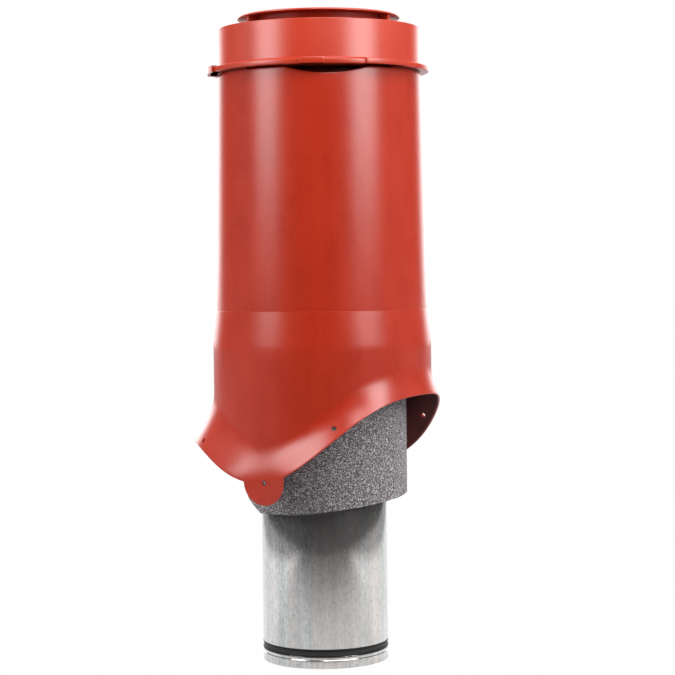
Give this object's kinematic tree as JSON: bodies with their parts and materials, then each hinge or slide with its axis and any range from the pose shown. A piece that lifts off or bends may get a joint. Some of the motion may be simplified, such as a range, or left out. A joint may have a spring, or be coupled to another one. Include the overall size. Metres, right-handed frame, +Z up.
{
  "type": "roof vent",
  "caption": "Insulated roof vent: a steel inner pipe in a foam sleeve inside a red tapered casing with a flared skirt that fits a profiled roof, under a hood with a rain disc.",
  "frame": {"origin": "on the axis of the inner pipe at its lower end", "axes": "+Z up along the pipe; +X towards the roof's ridge, the side where the skirt's rim is highest; the skirt's two screw ears are at +Y and -Y"},
  "size_m": [0.2456, 0.2458, 0.641],
  "materials": {
    "casing_plastic": "satin, fine moulded texture",
    "hood_plastic": "glossy",
    "galvanised_steel": "dull zinc coating",
    "seal_rubber": "satin",
    "foam": "open cellular, matt",
    "spacer_plastic": "matt",
    "screw_steel": "zinc plated"
  },
  "bodies": {
    "root": {"outer_casing": "casing_plastic", "hood": "hood_plastic", "rain_disc": "hood_plastic", "inner_pipe": "galvanised_steel", "pipe_seal": "seal_rubber", "foam_sleeve": "foam", "upper_spacer": "spacer_plastic", "lower_spacer": "spacer_plastic", "spacer_screws": "screw_steel"}
  },
  "joints": []
}
